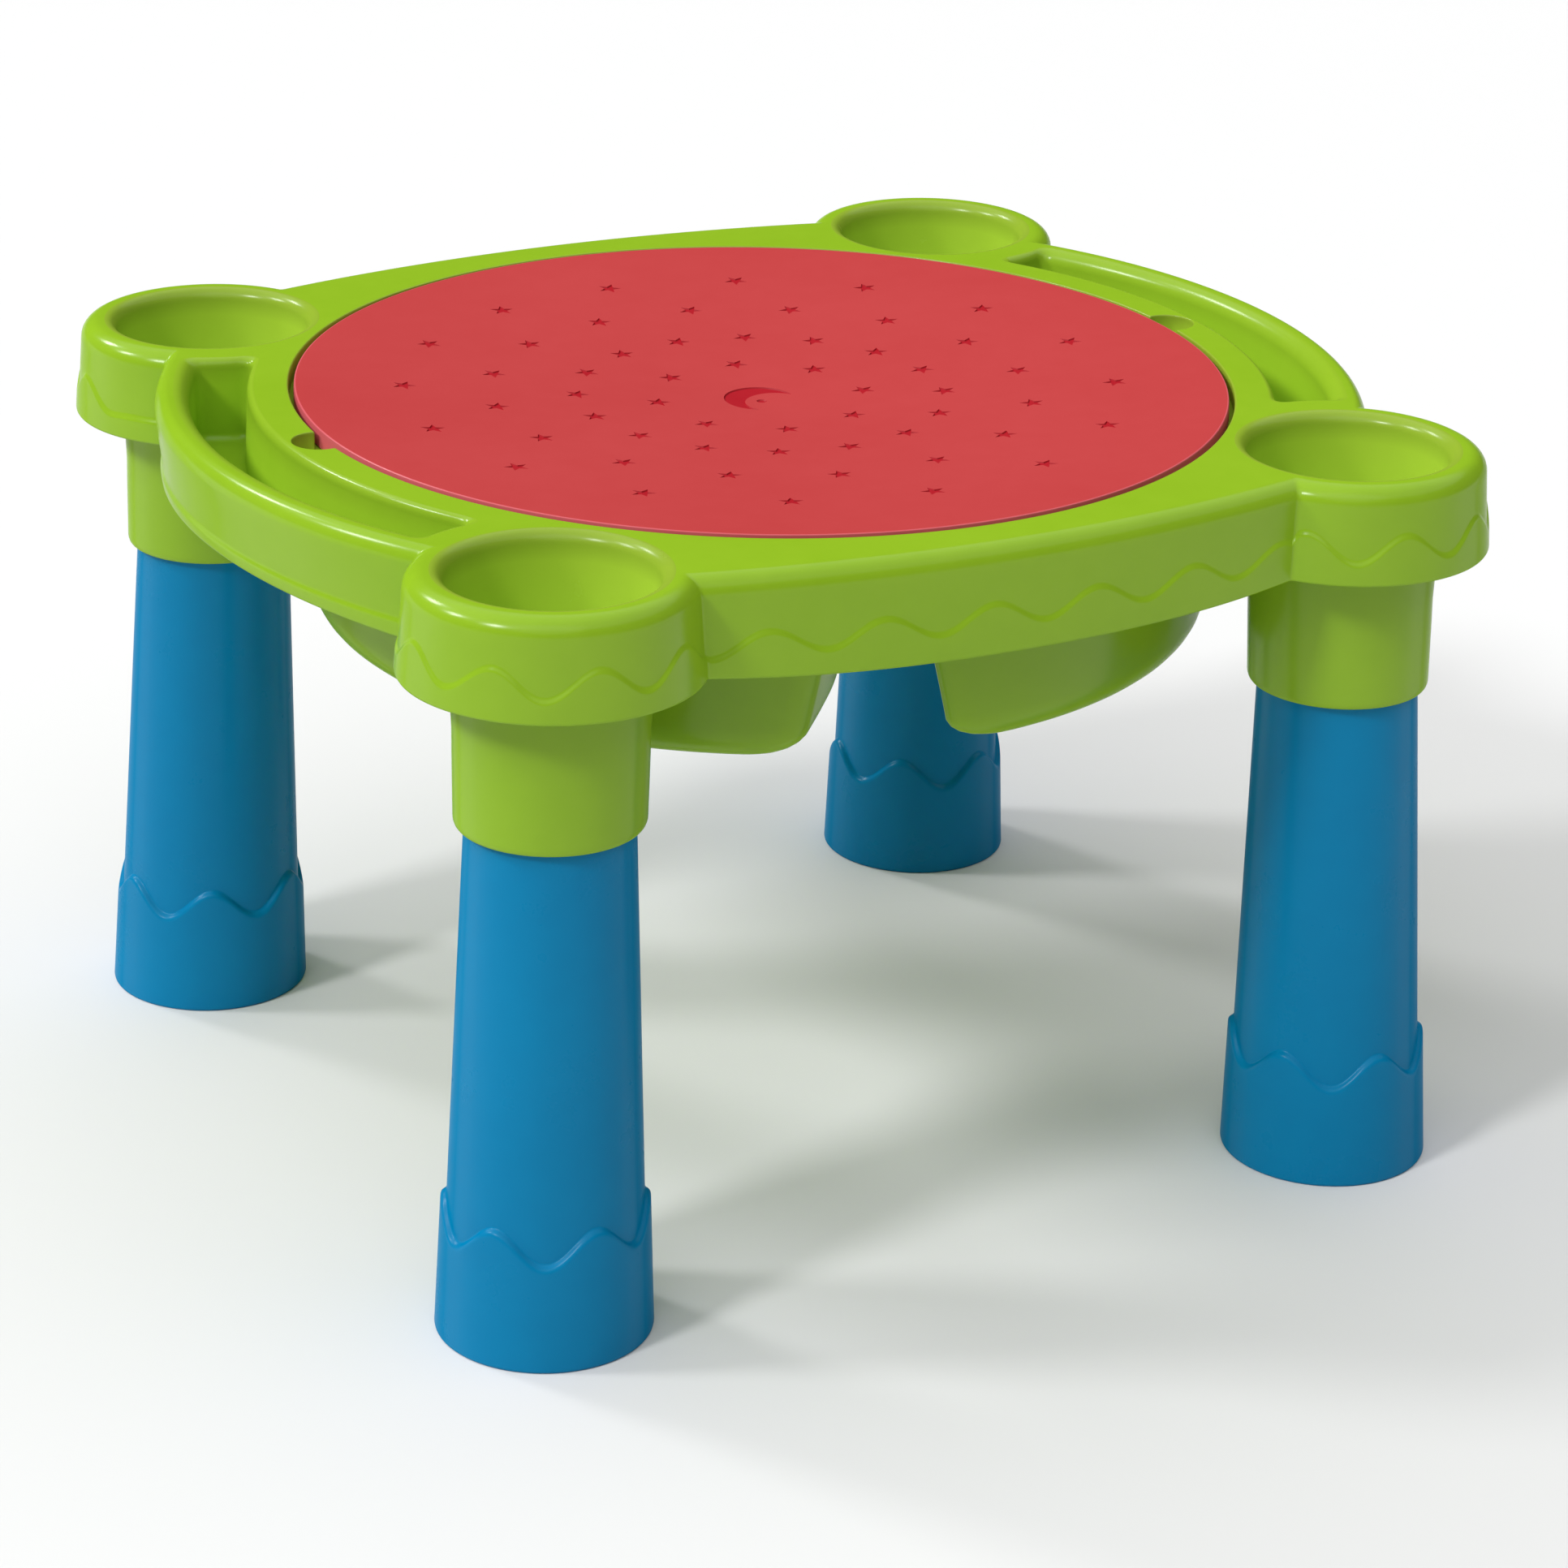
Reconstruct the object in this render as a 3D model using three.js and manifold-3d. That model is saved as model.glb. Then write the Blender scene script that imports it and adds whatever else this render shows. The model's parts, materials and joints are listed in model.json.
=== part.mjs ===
// Sand and water table for small children, as it stands on its four legs with the round cover on.
// Millimetres, +Z up. Origin: on the floor, under the middle of the table.
// +X runs to one trough side, +Y to one plain apron side.
// The green top is one hollow moulding on the real table. It is split here into plain pieces that all
// belong to the same rigid body: a deck in eight flat pieces, apron, lid seat, two basins, two troughs
// and four cup columns.
import * as THREE from "three";
import { mergeVertices } from "three/addons/utils/BufferGeometryUtils.js";
import Module from "manifold-3d";

// ---------- driving dimensions ----------
const DECK_Z = 441; // top face of the deck above the floor
const WALL = 3; // moulded wall
const GAP = 0.3; // clearance between neighbouring solids

const CUP_X = 250.4, CUP_Y = 244.5; // cup and leg centres at the deck
const CORNER_R = 82.5; // corner cylinder of the apron
const SIDE_R = 354; // trough side of the deck, concentric with the cover
const FRONT_R = 847, FRONT_Y = 313; // shallow arc of the plain sides
const BAND = 1.5; // raised band round the foot of the apron
const BAND_Z = -36; // upper edge of that band
const APRON_Z = -57; // lower edge of the apron at the corners
const FRONT_SAG = 4; // the plain sides hang this much lower at mid span
const SIDE_ARCH = 7; // the trough sides rise this much at mid span

const RECESS_R = 279; // recess that takes the cover
const LEDGE_R = 269; // inner edge of the ledge the cover stands on
const LEDGE_Z = -11;
const SPLIT_X = 184, SPLIT_Y = 178; // where the flat deck is divided, just inside the cup openings
const NOTCH_X = 283, NOTCH_R = 15; // finger notches beside the cover

const TROUGH_IN = 302, TROUGH_OUT = 338.5; // trough walls, inside faces
const TROUGH_END = 86; // trough ends, arcs about the cup centres
const TROUGH_Z = -50; // trough floor

const BASIN_R = 266.5; // outside of the basins at the foot of their walls
const BASIN_Z = -137.4; // underside of the basins
const BASIN_EDGE = 21.1; // rounding of the lower edge
const BASIN_CUT = [21.3, 15.9]; // rounding in plan at the two ends, where the outer wall meets the divider
const DIVIDER_Z = -19; // top of the S shaped divider between the basins
const DIVIDER_HALF = 33.9; // half width of the open channel under the divider, at its foot
const DIVIDER_FOOT = 31.7; // how far the divider's sides sweep out into the basin floor
const DIVIDER_DRAFT = 0.193; // how fast the channel narrows with height
const S_SLOPE = 0.226, S_SWING = 49, S_SPAN = 500;

const LID_R = 275, LID_Z = 1, LID_DISH = 14.6, LID_T = 2.5;

const CUP_FLOOR = -88; // cup depth
const SOCKET_Z = -142; // lower end of the leg sockets
const LEG_TOP = -91.5; // top of the legs, under the cup floor
const LEAN_Z = -57; // sockets and legs lean outwards below this level
const FOOT_DX = 8.6, FOOT_DY = 10.5; // how far the feet stand out from the cup centres
const FOOT_BAND_Z = 70; // height of the raised band round the foot
const FOOT_IN_R = 54.5; // inner edge of the flat ring that the foot stands on

// ---------- manifold helpers ----------
const wasm = await Module();
wasm.setup();

function solid(geometry) {
  const g = geometry.index ? geometry.toNonIndexed() : geometry.clone();
  g.deleteAttribute("normal");
  g.deleteAttribute("uv");
  const m = mergeVertices(g, 1e-3);
  return new wasm.Manifold(
    new wasm.Mesh({
      numProp: 3,
      vertProperties: new Float32Array(m.attributes.position.array),
      triVerts: new Uint32Array(m.index.array),
    }),
  );
}

function geometryOf(manifold) {
  const mesh = manifold.getMesh();
  const g = new THREE.BufferGeometry();
  g.setAttribute("position", new THREE.BufferAttribute(new Float32Array(mesh.vertProperties), 3));
  g.setIndex(new THREE.BufferAttribute(new Uint32Array(mesh.triVerts), 1));
  g.computeVertexNormals();
  return g;
}

// A plan outline extruded from z0 up to z1, in table coordinates.
function prism(points, z0, z1) {
  const g = new THREE.ExtrudeGeometry(new THREE.Shape(points), {
    depth: z1 - z0,
    bevelEnabled: false,
    curveSegments: 1,
  });
  g.translate(0, 0, z0);
  return solid(g);
}

// A full turn of a closed profile of [radius, height] pairs, given anticlockwise in the r-z plane.
function lathe(profile, segments) {
  const pts = profile.map(([r, z]) => new THREE.Vector2(r, z));
  const onAxis = profile[0][0] === 0 && profile[profile.length - 1][0] === 0;
  if (!onAxis) pts.push(pts[0].clone());
  const g = new THREE.LatheGeometry(pts, segments);
  g.rotateX(Math.PI / 2);
  return solid(g);
}

// ---------- plan curves ----------
const rad = (deg) => (deg * Math.PI) / 180;

function arc(cx, cy, r, a0, a1, n) {
  const out = [];
  for (let i = 0; i <= n; i++) {
    const a = a0 + ((a1 - a0) * i) / n;
    out.push(new THREE.Vector2(cx + r * Math.cos(a), cy + r * Math.sin(a)));
  }
  return out;
}

// Where two circles meet; side picks the point to the left (+1) or right (-1) of the line a to b.
function meet(ax, ay, ar, bx, by, br, side) {
  const dx = bx - ax, dy = by - ay, d = Math.hypot(dx, dy);
  const t = (ar * ar - br * br + d * d) / (2 * d);
  const h = Math.sqrt(ar * ar - t * t) * side;
  return [ax + (dx * t - dy * h) / d, ay + (dy * t + dx * h) / d];
}

// Outline of the deck, grown by d. One quarter is worked out and mirrored.
function deckOutline(d) {
  const sr = SIDE_R + d, cr = CORNER_R + d, fr = FRONT_R + d;
  const fc = -(FRONT_R - FRONT_Y); // centre of the +Y side's arc
  const s = meet(0, 0, sr, CUP_X, CUP_Y, cr, -1); // crease between trough side and corner
  const f = meet(CUP_X, CUP_Y, cr, 0, fc, fr, -1); // crease between corner and plain side
  const sa = Math.atan2(s[1], s[0]);
  const c0 = Math.atan2(s[1] - CUP_Y, s[0] - CUP_X);
  const c1 = Math.atan2(f[1] - CUP_Y, f[0] - CUP_X);
  const fa = Math.atan2(f[1] - fc, f[0]);
  const quarter = [
    ...arc(0, 0, sr, 0, sa, 8),
    ...arc(CUP_X, CUP_Y, cr, c0, c1 < c0 ? c1 + 2 * Math.PI : c1, 16).slice(1),
    ...arc(0, fc, fr, fa, Math.PI / 2, 6).slice(1),
  ];
  const mx = quarter.slice(0, -1).map((p) => new THREE.Vector2(-p.x, p.y)).reverse();
  const top = [...quarter, ...mx];
  const bottom = top.slice(1, -1).map((p) => new THREE.Vector2(p.x, -p.y)).reverse();
  return [...top, ...bottom];
}

// Joins curve pieces end to end, rounding each corner over a length t; t may be a list with one length
// for each corner, the first at the start of the first piece.
function rounded(pieces, t) {
  const cut = pieces.map((p, i) => {
    let q = p.slice();
    for (let k = 0; k < 2; k++) {
      let left = Array.isArray(t) ? t[(i + k) % pieces.length] : t;
      while (q.length > 2 && q[0].distanceTo(q[1]) <= left) {
        left -= q[0].distanceTo(q[1]);
        q = q.slice(1);
      }
      q[0] = q[0].clone().lerp(q[1], left / q[0].distanceTo(q[1]));
      q = q.reverse();
    }
    return q;
  });
  const out = [];
  cut.forEach((q, i) => {
    out.push(...q);
    const next = cut[(i + 1) % cut.length];
    const a = q[q.length - 1], b = next[0], c = pieces[i][pieces[i].length - 1];
    for (const u of [0.25, 0.5, 0.75])
      out.push(
        new THREE.Vector2(
          (1 - u) * (1 - u) * a.x + 2 * u * (1 - u) * c.x + u * u * b.x,
          (1 - u) * (1 - u) * a.y + 2 * u * (1 - u) * c.y + u * u * b.y,
        ),
      );
  });
  return out;
}

// Plan of the trough on the +X side, grown by d.
function troughOutline(d) {
  const ri = TROUGH_IN - d, ro = TROUGH_OUT + d, re = TROUGH_END - d;
  const i1 = meet(0, 0, ri, CUP_X, CUP_Y, re, -1);
  const o1 = meet(0, 0, ro, CUP_X, CUP_Y, re, -1);
  const ai = Math.atan2(i1[1], i1[0]), ao = Math.atan2(o1[1], o1[0]);
  const ei = Math.atan2(i1[1] - CUP_Y, i1[0] - CUP_X), eo = Math.atan2(o1[1] - CUP_Y, o1[0] - CUP_X);
  return rounded(
    [
      arc(0, 0, ro, -ao, ao, 14),
      arc(CUP_X, CUP_Y, re, eo, ei, 4),
      arc(0, 0, ri, ai, -ai, 14),
      arc(CUP_X, -CUP_Y, re, -ei, -eo, 4),
    ],
    5 + 0.5 * d,
  );
}

// Middle line of the S shaped divider: x for a given y.
const sx = (y) => S_SLOPE * y - S_SWING * Math.sin((2 * Math.PI * y) / S_SPAN);
const sdx = (y) => S_SLOPE - ((S_SWING * 2 * Math.PI) / S_SPAN) * Math.cos((2 * Math.PI * y) / S_SPAN);

// Plan of the basin on the +X side of the divider: a circle of radius r cut off at a distance w from the
// middle line of the divider.
function basinOutline(r, w, t) {
  const edge = [];
  for (let i = 0; i <= 200; i++) {
    const y = -300 + 3 * i, s = sdx(y), n = Math.hypot(1, s);
    const p = new THREE.Vector2(sx(y) + w / n, y - (w * s) / n);
    if (p.length() < r) edge.push(p);
  }
  const thin = [];
  for (let i = 0; i <= 22; i++) thin.push(edge[Math.round(((edge.length - 1) * i) / 22)].clone());
  const a = thin[0], b = thin[thin.length - 1];
  const a0 = Math.atan2(a.y, a.x), a1 = Math.atan2(b.y, b.x);
  const circle = arc(0, 0, r, a0, a1, 18);
  thin[0] = circle[0].clone();
  thin[thin.length - 1] = circle[circle.length - 1].clone();
  return rounded([circle, thin.reverse()], t);
}

const turn = (m) => m.rotate([0, 0, 180]);

// ---------- green top: apron, the skirt round the deck ----------
function apron() {
  const lower = APRON_Z - FRONT_SAG - 1;
  let m = prism(deckOutline(0), lower, 0).add(prism(deckOutline(BAND), lower, BAND_Z));
  m = m.subtract(prism(deckOutline(-WALL), lower - 5, 5));
  // lower edge: level at the corners, a little lower along the plain sides, arched on the trough sides
  const edgeX = [];
  for (let i = 0; i <= 24; i++) {
    const x = -400 + (800 * i) / 24, k = Math.min(1, Math.abs(x) / 183);
    edgeX.push(new THREE.Vector2(x, APRON_Z - FRONT_SAG * (1 - k * k)));
  }
  const cutX = new THREE.ExtrudeGeometry(
    new THREE.Shape([new THREE.Vector2(-400, -90), new THREE.Vector2(400, -90), ...edgeX.reverse()]),
    { depth: 220, bevelEnabled: false },
  );
  cutX.rotateX(Math.PI / 2); // outline (x, z), running towards -Y
  const cutF = cutX.clone().translate(0, -188, 0), cutB = cutX.clone().translate(0, 408, 0);
  const edgeY = [];
  for (let i = 0; i <= 20; i++) {
    const y = -188 + (376 * i) / 20, k = y / 188;
    edgeY.push(new THREE.Vector2(y, APRON_Z + SIDE_ARCH * (1 - k * k)));
  }
  const cutY = new THREE.ExtrudeGeometry(
    new THREE.Shape([new THREE.Vector2(-188, -90), new THREE.Vector2(188, -90), ...edgeY.reverse()]),
    { depth: 120, bevelEnabled: false },
  );
  cutY.rotateX(Math.PI / 2).rotateZ(Math.PI / 2); // outline (y, z), running towards +X
  const cutR = cutY.clone().translate(290, 0, 0), cutL = cutY.clone().translate(-410, 0, 0);
  for (const c of [cutF, cutB, cutR, cutL]) m = m.subtract(solid(c));
  return m;
}

// ---------- green top: deck, the flat top with its openings ----------
function deck() {
  let m = prism(deckOutline(-WALL - GAP), -WALL, 0);
  m = m.subtract(prism(arc(0, 0, RECESS_R + WALL + GAP, 0, 2 * Math.PI * (71 / 72), 71), -20, 5));
  for (const s of [1, -1]) {
    const t = prism(troughOutline(WALL + GAP), -80, 5);
    m = m.subtract(s > 0 ? t : turn(t));
    m = m.subtract(prism(arc(s * NOTCH_X, 0, NOTCH_R + WALL + GAP, 0, 2 * Math.PI * (23 / 24), 23), -20, 5));
    for (const q of [1, -1])
      m = m.subtract(
        prism(arc(s * CUP_X, q * CUP_Y, CUP_TOP_R + GAP, 0, 2 * Math.PI * (31 / 32), 31), -WALL - 2, 5),
      );
  }
  return m;
}

// The deck in pieces of simple shape: a ring round each cup, a frame round each trough, two plain strips.
function deckPiece(x0, x1, y0, y1) {
  return deck().intersect(prism([
    new THREE.Vector2(x0, y0), new THREE.Vector2(x1, y0), new THREE.Vector2(x1, y1), new THREE.Vector2(x0, y1),
  ], -20, 20));
}

// ---------- green top: cup with the leg socket under it ----------
const CUP_TOP_R = 63;
const CUP_PROFILE = [
  [0, CUP_FLOOR - WALL], [45, CUP_FLOOR - WALL], [47.2, CUP_FLOOR - WALL - 2], [48.9, SOCKET_Z],
  [51.4, SOCKET_Z], [52.4, SOCKET_Z + 3], [53.2, CUP_FLOOR], [55, LEAN_Z], [60.8, -5], [CUP_TOP_R, -3], [CUP_TOP_R, 0],
  [62, 0], [58.6, -2.6], [57.6, -6], [52, -55], [50.2, -80], [43, CUP_FLOOR], [0, CUP_FLOOR],
];

// ---------- green top: trough ----------
function trough() {
  return prism(troughOutline(WALL), TROUGH_Z - WALL, 0).subtract(prism(troughOutline(0), TROUGH_Z, 5));
}

// ---------- green top: basin ----------
// A stack of plan outlines with the same number of points, closed by a floor and a lid.
function stack(levels) {
  const n = levels[0].outline.length, pos = [], tri = [];
  for (const { outline, z } of levels) for (const p of outline) pos.push(p.x, p.y, z);
  for (let k = 0; k + 1 < levels.length; k++)
    for (let i = 0; i < n; i++) {
      const j = (i + 1) % n, a = k * n + i, b = k * n + j;
      tri.push(a, b, b + n, a, b + n, a + n);
    }
  const last = (levels.length - 1) * n;
  for (const [i, j, k] of THREE.ShapeUtils.triangulateShape(levels[0].outline, [])) tri.push(k, j, i);
  for (const [i, j, k] of THREE.ShapeUtils.triangulateShape(levels[levels.length - 1].outline, []))
    tri.push(last + i, last + j, last + k);
  return new wasm.Manifold(new wasm.Mesh({
    numProp: 3, vertProperties: new Float32Array(pos), triVerts: new Uint32Array(tri),
  }));
}

// The space of a basin, shrunk inwards by d: outer wall, and the divider's side that narrows upwards.
function basinSolid(d, top) {
  const edge = BASIN_EDGE - d, floor = BASIN_Z + d, foot = floor + edge, levels = [];
  const level = (r, w, z) => levels.push({ outline: basinOutline(r, w, BASIN_CUT.map((c) => c - d)), z });
  for (let i = 0; i < 4; i++) {
    const q = (Math.PI / 2) * (i / 3), k = 1 - Math.sin(q);
    level(BASIN_R - d - edge * k, DIVIDER_HALF + d + (DIVIDER_FOOT - d) * k, floor + edge * (1 - Math.cos(q)));
  }
  for (const z of [-70, top]) level(BASIN_R - d + (z - foot) * 0.02, DIVIDER_HALF + d - (z - foot) * DIVIDER_DRAFT, z);
  return stack(levels);
}
const BASIN_TOP = DIVIDER_Z - WALL - GAP;
const half = (z0, z1) => prism([
  new THREE.Vector2(-420, -420), new THREE.Vector2(420, -420),
  new THREE.Vector2(420, 420), new THREE.Vector2(-420, 420),
], z0, z1);
function basin() {
  return basinSolid(0, BASIN_TOP).subtract(basinSolid(WALL, BASIN_TOP + 10));
}

// ---------- green top: lid seat, with the top of the divider ----------
function seat() {
  const ring = lathe([
    [LEDGE_R, DIVIDER_Z - WALL], [LEDGE_R + WALL, DIVIDER_Z - WALL], [LEDGE_R + WALL, LEDGE_Z - WALL],
    [RECESS_R + WALL, LEDGE_Z - WALL], [RECESS_R + WALL, 0], [RECESS_R, 0], [RECESS_R, LEDGE_Z], [LEDGE_R, LEDGE_Z],
  ], 72);
  const void_ = basinSolid(WALL, DIVIDER_Z + 8);
  let m = prism(arc(0, 0, LEDGE_R + 1.5, 0, 2 * Math.PI * (71 / 72), 71), DIVIDER_Z - WALL, DIVIDER_Z)
    .subtract(void_).subtract(turn(void_)).add(ring);
  for (const s of [1, -1]) {
    const c = (r, z0, z1) => prism(arc(s * NOTCH_X, 0, r, 0, 2 * Math.PI * (23 / 24), 23), z0, z1);
    const disc = prism(arc(0, 0, RECESS_R + 1, 0, 2 * Math.PI * (71 / 72), 71), -20, 5);
    const t = prism(troughOutline(WALL + GAP), -80, 5); // the trough wall closes the notch on the far side
    m = m.add(c(NOTCH_R + WALL, LEDGE_Z - WALL, 0).subtract(disc).subtract(s > 0 ? t : turn(t)));
    m = m.subtract(c(NOTCH_R, LEDGE_Z, 5));
  }
  return m;
}

// ---------- red cover ----------
function lidProfile() {
  const dish = (r) => LID_Z - LID_DISH * (0.75 * (1 - r / LID_R) + 0.25 * (1 - (r / LID_R) ** 2));
  const top = [], under = [];
  for (const r of [0, 61, 108, 158, 208, 262]) {
    top.push([r, dish(r)]);
    under.push([r, dish(r) - LID_T]);
  }
  const inner = LID_R - LID_T;
  return [
    ...under.slice(0, -1), [inner - 3, dish(inner - 3) - LID_T], [inner, -2], [inner, LEDGE_Z + GAP],
    [LID_R, LEDGE_Z + GAP], [LID_R, LID_Z - 1.2], [LID_R - 1.2, LID_Z], ...top.reverse(),
  ];
}

// ---------- blue leg, hollow and open at the foot ----------
const LEG_PROFILE = [
  [0, LEG_TOP - WALL], [41.5, LEG_TOP - WALL], [43.4, SOCKET_Z], [51.6, -DECK_Z + FOOT_BAND_Z + 6],
  [FOOT_IN_R, -DECK_Z + FOOT_BAND_Z - 8], [FOOT_IN_R, -DECK_Z], [60.3, -DECK_Z], [61.3, -DECK_Z + 2],
  [58.1, -DECK_Z + FOOT_BAND_Z - 1], [55, -DECK_Z + FOOT_BAND_Z + 1], [46.6, SOCKET_Z], [45, LEG_TOP - 2], [43.6, LEG_TOP],
  [0, LEG_TOP],
];
// Socket and leg lean outwards together: each level moves sideways in proportion to its depth below
// the foot of the apron.
function lean(m, sxn, syn) {
  return m.warp((v) => {
    const k = Math.max(0, (LEAN_Z - v[2]) / (DECK_Z + LEAN_Z));
    v[0] += sxn * FOOT_DX * k;
    v[1] += syn * FOOT_DY * k;
  });
}

// ---------- assembly ----------
const green = { color: 0x8fbe2b, roughness: 0.34, metalness: 0 };
const blue = { color: 0x0083b4, roughness: 0.36, metalness: 0 };
const red = { color: 0xcc494e, roughness: 0.4, metalness: 0 };

const group = new THREE.Group();
function add(name, manifold, look, x = 0, y = 0) {
  const mesh = new THREE.Mesh(geometryOf(manifold), new THREE.MeshStandardMaterial(look));
  mesh.name = name;
  mesh.position.set(x, y, DECK_Z);
  group.add(mesh);
}

const corners = [
  ["front_left", -1, -1], ["front_right", 1, -1], ["back_left", -1, 1], ["back_right", 1, 1],
];
const inX = SPLIT_X - GAP / 2, outX = SPLIT_X + GAP / 2, inY = SPLIT_Y - GAP / 2, outY = SPLIT_Y + GAP / 2;
add("deck_front", deckPiece(-inX, inX, -420, -outY), green);
add("deck_back", deckPiece(-inX, inX, outY, 420), green);
add("deck_right", deckPiece(outX, 420, -inY, inY), green);
add("deck_left", deckPiece(-420, -outX, -inY, inY), green);
for (const [where, a, b] of corners)
  add(
    "deck_" + where,
    deckPiece(a > 0 ? outX : -420, a > 0 ? 420 : -outX, b > 0 ? outY : -420, b > 0 ? 420 : -outY),
    green,
  );
add("apron", apron(), green);
add("lid_seat", seat(), green);
add("basin_right", basin(), green);
add("basin_left", turn(basin()), green);
add("trough_right", trough(), green);
add("trough_left", turn(trough()), green);
const cup = lathe(CUP_PROFILE, 28);
const leg = lathe(LEG_PROFILE, 28);
for (const [where, a, b] of corners) {
  add("cup_" + where, lean(cup, a, b), green, a * CUP_X, b * CUP_Y);
  add("leg_" + where, lean(leg, a, b), blue, a * CUP_X, b * CUP_Y);
}
add("lid", lathe(lidProfile(), 60), red);

export default group;
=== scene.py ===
import json
import math

import bpy
import numpy as np
from mathutils import Matrix, Vector
from mathutils.geometry import delaunay_2d_cdt


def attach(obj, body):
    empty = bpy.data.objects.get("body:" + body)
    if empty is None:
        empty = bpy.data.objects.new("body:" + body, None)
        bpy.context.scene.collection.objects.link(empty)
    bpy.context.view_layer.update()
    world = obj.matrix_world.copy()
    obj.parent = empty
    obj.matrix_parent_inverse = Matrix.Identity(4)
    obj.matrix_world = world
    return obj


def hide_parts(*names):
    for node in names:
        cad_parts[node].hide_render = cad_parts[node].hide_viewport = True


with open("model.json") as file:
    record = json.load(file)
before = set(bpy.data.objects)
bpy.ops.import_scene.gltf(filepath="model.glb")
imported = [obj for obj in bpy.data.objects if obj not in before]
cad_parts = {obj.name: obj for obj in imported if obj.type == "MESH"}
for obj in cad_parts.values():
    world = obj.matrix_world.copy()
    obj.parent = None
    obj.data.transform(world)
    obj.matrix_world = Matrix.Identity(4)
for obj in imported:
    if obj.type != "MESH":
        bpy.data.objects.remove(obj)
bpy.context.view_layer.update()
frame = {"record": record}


DECK_Z = 441.0
CX, CY = 250.4, 244.5  # cup centres
FOOT_DX, FOOT_DY, LEAN_Z = 8.6, 10.5, -57.0
TAU = 2 * math.pi

scene = bpy.context.scene


# ------------------------------------------------------------------ camera
def make_camera():
    az, el, roll = math.radians(-28.111), math.radians(22.609), math.radians(1.333)
    target = Vector((0.0126, -0.0156, DECK_Z / 1000 - 0.2551))
    back = Vector(
        (math.sin(az) * math.cos(el), -math.cos(az) * math.cos(el), math.sin(el))
    )
    right = Vector((math.cos(az), math.sin(az), 0))
    up = back.cross(right)
    r2 = right * math.cos(roll) + up * math.sin(roll)
    u2 = up * math.cos(roll) - right * math.sin(roll)
    cam = bpy.data.cameras.new("camera")
    cam.lens, cam.sensor_width, cam.sensor_fit = 109.26, 36.0, "HORIZONTAL"
    cam.clip_start, cam.clip_end = 0.05, 60
    ob = bpy.data.objects.new("camera", cam)
    m = Matrix((r2, u2, back)).transposed().to_4x4()
    m.translation = target + back * 2.8965
    ob.matrix_world = m
    scene.collection.objects.link(ob)
    scene.camera = ob


make_camera()


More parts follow.
